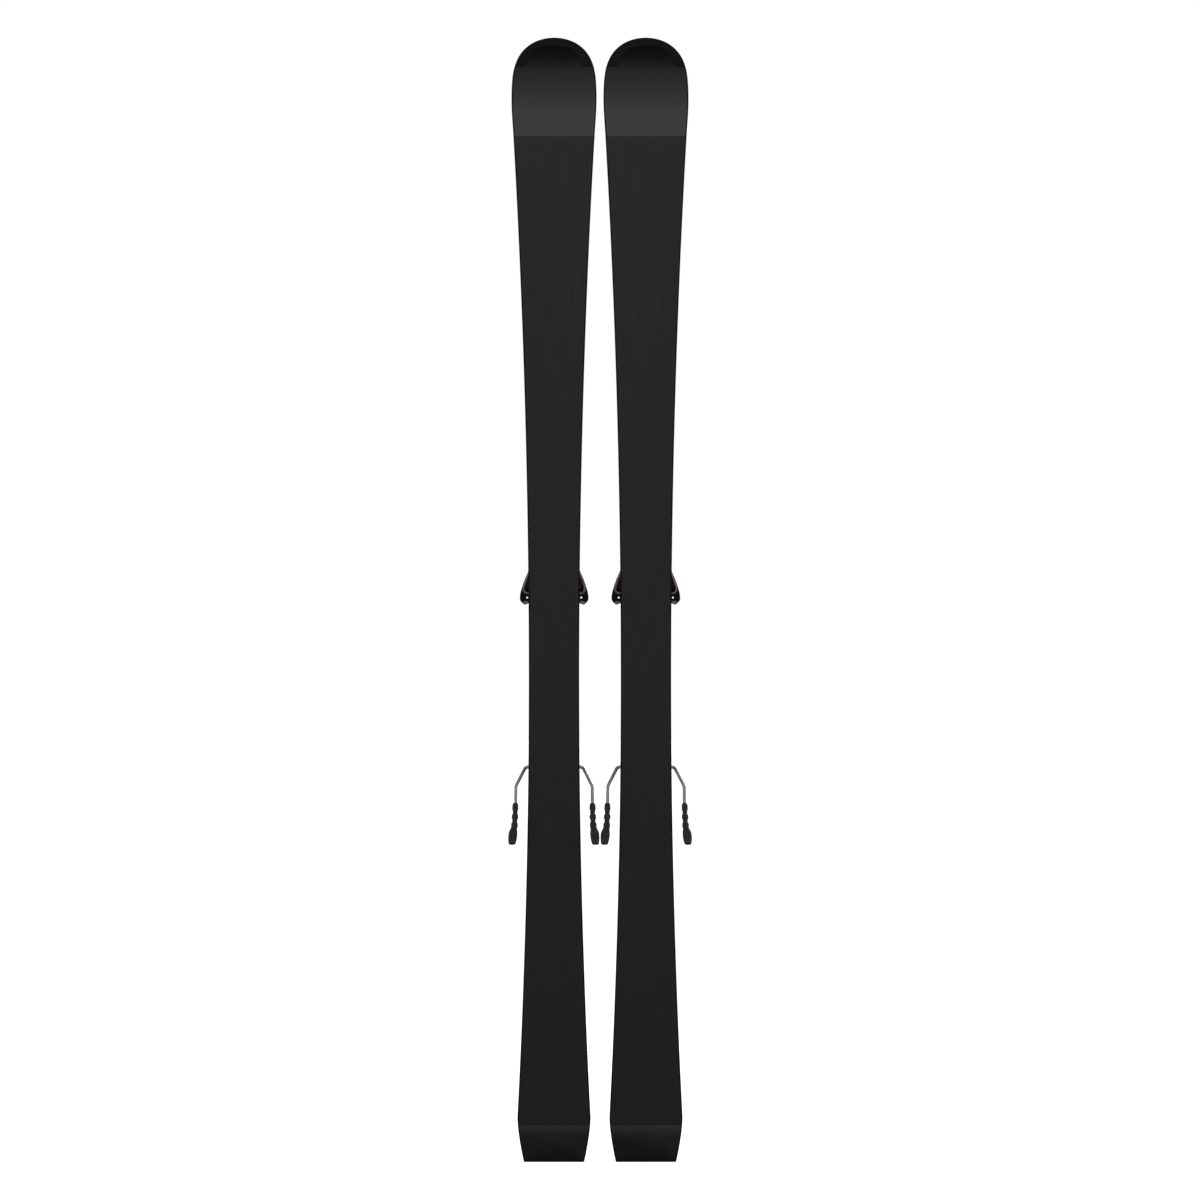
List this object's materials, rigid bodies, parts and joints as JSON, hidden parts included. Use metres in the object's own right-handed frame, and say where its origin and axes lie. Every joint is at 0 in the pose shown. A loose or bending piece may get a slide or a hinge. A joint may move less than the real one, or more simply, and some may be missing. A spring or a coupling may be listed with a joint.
{
  "type": "alpine skis",
  "caption": "Pair of shaped alpine skis standing on their tails, with release bindings on sliding heel pieces, lowered brakes and open heels.",
  "frame": {"origin": "on the floor under the tails, midway between the two skis, in the plane that both bases touch", "axes": "+Z along the skis from tail to tip, +Y from the bases towards the bindings, +X across the pair from the ski on the left to the one on the right as seen from the base side"},
  "size_m": [0.2638, 0.1642, 1.63],
  "materials": {
    "base_black": "structured matte",
    "edge_steel": "ground, dull",
    "laminate": "sealed inside",
    "sidewall_black": "satin",
    "topsheet_black": "satin gloss",
    "cap_black": "satin",
    "track_grey": "moulded",
    "binding_black": "moulded satin",
    "wing_black": "moulded",
    "lever_grey": "moulded",
    "glide_plate": "slippery",
    "bright_steel": "bright",
    "spring_steel": "oil-tempered"
  },
  "bodies": {
    "left_ski": {"left_ski_base": "base_black", "left_edge_inner": "edge_steel", "left_edge_outer": "edge_steel", "left_ski_core": "laminate", "left_sidewall_inner": "sidewall_black", "left_sidewall_outer": "sidewall_black", "left_ski_topsheet": "topsheet_black", "left_tip_cap": "cap_black", "left_tail_cap": "cap_black", "left_toe_track": "track_grey", "left_toe_body": "binding_black", "left_toe_spring": "spring_steel", "left_heel_track": "track_grey"},
    "left_toe_wing": {"left_toe_wing": "wing_black"},
    "left_glide_plate": {"left_glide_plate": "glide_plate"},
    "left_toe_screw": {"left_toe_screw": "bright_steel"},
    "left_toe_indicator": {"left_toe_indicator": "lever_grey"},
    "left_carriage": {"left_heel_carriage": "binding_black", "left_heel_pin": "bright_steel", "left_brake_plate": "binding_black"},
    "left_heel_housing": {"left_heel_housing": "binding_black", "left_heel_spring": "spring_steel"},
    "left_heel_lever": {"left_heel_lever": "lever_grey"},
    "left_heel_screw": {"left_heel_screw": "bright_steel"},
    "left_length_latch": {"left_length_latch": "lever_grey"},
    "left_brake_pedal": {"left_brake_pedal": "binding_black"},
    "left_brake_arm_inner": {"left_brake_wire_inner": "bright_steel", "left_brake_claw_inner": "wing_black"},
    "left_brake_arm_outer": {"left_brake_wire_outer": "bright_steel", "left_brake_claw_outer": "wing_black"},
    "right_ski": {"right_ski_base": "base_black", "right_edge_inner": "edge_steel", "right_edge_outer": "edge_steel", "right_ski_core": "laminate", "right_sidewall_inner": "sidewall_black", "right_sidewall_outer": "sidewall_black", "right_ski_topsheet": "topsheet_black", "right_tip_cap": "cap_black", "right_tail_cap": "cap_black", "right_toe_track": "track_grey", "right_toe_body": "binding_black", "right_toe_spring": "spring_steel", "right_heel_track": "track_grey"},
    "right_toe_wing": {"right_toe_wing": "wing_black"},
    "right_glide_plate": {"right_glide_plate": "glide_plate"},
    "right_toe_screw": {"right_toe_screw": "bright_steel"},
    "right_toe_indicator": {"right_toe_indicator": "lever_grey"},
    "right_carriage": {"right_heel_carriage": "binding_black", "right_heel_pin": "bright_steel", "right_brake_plate": "binding_black"},
    "right_heel_housing": {"right_heel_housing": "binding_black", "right_heel_spring": "spring_steel"},
    "right_heel_lever": {"right_heel_lever": "lever_grey"},
    "right_heel_screw": {"right_heel_screw": "bright_steel"},
    "right_length_latch": {"right_length_latch": "lever_grey"},
    "right_brake_pedal": {"right_brake_pedal": "binding_black"},
    "right_brake_arm_inner": {"right_brake_wire_inner": "bright_steel", "right_brake_claw_inner": "wing_black"},
    "right_brake_arm_outer": {"right_brake_wire_outer": "bright_steel", "right_brake_claw_outer": "wing_black"}
  },
  "joints": [
    {"name": "left_toe_wing_swivel", "type": "hinge", "parent": "left_ski", "child": "left_toe_wing", "pos_m": [-0.0665, 0.045, 0.872], "axis": [0, 1, 0], "range_deg": [-20, 20], "stiffness_Nm_per_rad": 2},
    {"name": "left_glide_plate_slide", "type": "slide", "parent": "left_ski", "child": "left_glide_plate", "axis": [1, 0, 0], "range_m": [-0.002, 0.002], "stiffness_N_per_m": 150},
    {"name": "left_toe_screw_turn", "type": "hinge", "parent": "left_ski", "child": "left_toe_screw", "pos_m": [-0.0665, 0.046, 0.93], "axis": [0, 0, 1], "range_deg": [-720, 720]},
    {"name": "left_toe_indicator_slide", "type": "slide", "parent": "left_ski", "child": "left_toe_indicator", "axis": [0, 0, 1], "range_m": [-0.0031, 0.0031], "deforming": ["left_toe_spring"]},
    {"name": "left_carriage_slide", "type": "slide", "parent": "left_ski", "child": "left_carriage", "axis": [0, 0, 1], "range_m": [-0.012, 0.012]},
    {"name": "left_heel_turn", "type": "hinge", "parent": "left_carriage", "child": "left_heel_housing", "pos_m": [-0.0665, 0.046, 0.505], "axis": [1, 0, 0], "range_deg": [0, 35], "stiffness_Nm_per_rad": 2, "springref_deg": -34.38},
    {"name": "left_heel_lever_turn", "type": "hinge", "parent": "left_heel_housing", "child": "left_heel_lever", "pos_m": [-0.0665, 0.08548, 0.47247], "axis": [1, 0, 0], "range_deg": [0, 20]},
    {"name": "left_heel_screw_turn", "type": "hinge", "parent": "left_heel_housing", "child": "left_heel_screw", "pos_m": [-0.0665, 0.04558, 0.45036], "axis": [0, 0.5736, 0.8192], "range_deg": [-720, 720]},
    {"name": "left_length_latch_turn", "type": "hinge", "parent": "left_carriage", "child": "left_length_latch", "pos_m": [-0.0665, 0.0295, 0.446], "axis": [1, 0, 0], "range_deg": [0, 20], "stiffness_Nm_per_rad": 0.05, "springref_deg": -22.92},
    {"name": "left_brake_outer_turn", "type": "hinge", "parent": "left_carriage", "child": "left_brake_arm_outer", "pos_m": [-0.0965, 0.031, 0.572], "axis": [0.9781, -0.2079, 0], "range_deg": [0, 42], "stiffness_Nm_per_rad": 2, "springref_deg": -34.38},
    {"name": "left_brake_inner_turn", "type": "hinge", "parent": "left_carriage", "child": "left_brake_arm_inner", "pos_m": [-0.0365, 0.031, 0.572], "axis": [0.9781, 0.2079, 0], "range_deg": [-0.5, 42.5]},
    {"name": "left_brake_pedal_turn", "type": "hinge", "parent": "left_carriage", "child": "left_brake_pedal", "pos_m": [-0.0665, 0.0355, 0.652], "axis": [-1, 0, 0], "range_deg": [-0.5, 25.2]},
    {"name": "right_toe_wing_swivel", "type": "hinge", "parent": "right_ski", "child": "right_toe_wing", "pos_m": [0.0665, 0.045, 0.872], "axis": [0, 1, 0], "range_deg": [-20, 20], "stiffness_Nm_per_rad": 2},
    {"name": "right_glide_plate_slide", "type": "slide", "parent": "right_ski", "child": "right_glide_plate", "axis": [1, 0, 0], "range_m": [-0.002, 0.002], "stiffness_N_per_m": 150},
    {"name": "right_toe_screw_turn", "type": "hinge", "parent": "right_ski", "child": "right_toe_screw", "pos_m": [0.0665, 0.046, 0.93], "axis": [0, 0, 1], "range_deg": [-720, 720]},
    {"name": "right_toe_indicator_slide", "type": "slide", "parent": "right_ski", "child": "right_toe_indicator", "axis": [0, 0, 1], "range_m": [-0.0031, 0.0031], "deforming": ["right_toe_spring"]},
    {"name": "right_carriage_slide", "type": "slide", "parent": "right_ski", "child": "right_carriage", "axis": [0, 0, 1], "range_m": [-0.012, 0.012]},
    {"name": "right_heel_turn", "type": "hinge", "parent": "right_carriage", "child": "right_heel_housing", "pos_m": [0.0665, 0.046, 0.505], "axis": [1, 0, 0], "range_deg": [0, 35], "stiffness_Nm_per_rad": 2, "springref_deg": -34.38},
    {"name": "right_heel_lever_turn", "type": "hinge", "parent": "right_heel_housing", "child": "right_heel_lever", "pos_m": [0.0665, 0.08548, 0.47247], "axis": [1, 0, 0], "range_deg": [0, 20]},
    {"name": "right_heel_screw_turn", "type": "hinge", "parent": "right_heel_housing", "child": "right_heel_screw", "pos_m": [0.0665, 0.04558, 0.45036], "axis": [0, 0.5736, 0.8192], "range_deg": [-720, 720]},
    {"name": "right_length_latch_turn", "type": "hinge", "parent": "right_carriage", "child": "right_length_latch", "pos_m": [0.0665, 0.0295, 0.446], "axis": [1, 0, 0], "range_deg": [0, 20], "stiffness_Nm_per_rad": 0.05, "springref_deg": -22.92},
    {"name": "right_brake_outer_turn", "type": "hinge", "parent": "right_carriage", "child": "right_brake_arm_outer", "pos_m": [0.0965, 0.031, 0.572], "axis": [0.9781, 0.2079, 0], "range_deg": [0, 42], "stiffness_Nm_per_rad": 2, "springref_deg": -34.38},
    {"name": "right_brake_inner_turn", "type": "hinge", "parent": "right_carriage", "child": "right_brake_arm_inner", "pos_m": [0.0365, 0.031, 0.572], "axis": [0.9781, -0.2079, 0], "range_deg": [-0.5, 42.5]},
    {"name": "right_brake_pedal_turn", "type": "hinge", "parent": "right_carriage", "child": "right_brake_pedal", "pos_m": [0.0665, 0.0355, 0.652], "axis": [-1, 0, 0], "range_deg": [-0.5, 25.2]},
    {"name": "ski_spread", "type": "slide", "parent": "left_ski", "child": "right_ski", "axis": [1, 0, 0], "range_m": [0, 0.3]}
  ],
  "couplings": [
    {"joint": "left_toe_indicator_slide", "follows": "left_toe_screw_turn", "m_per_rad": 0.00023873},
    {"joint": "left_brake_inner_turn", "follows": "left_brake_outer_turn", "ratio": 1},
    {"joint": "left_brake_pedal_turn", "follows": "left_brake_outer_turn", "ratio": 0.587},
    {"joint": "right_toe_indicator_slide", "follows": "right_toe_screw_turn", "m_per_rad": 0.00023873},
    {"joint": "right_brake_inner_turn", "follows": "right_brake_outer_turn", "ratio": 1},
    {"joint": "right_brake_pedal_turn", "follows": "right_brake_outer_turn", "ratio": 0.587}
  ]
}
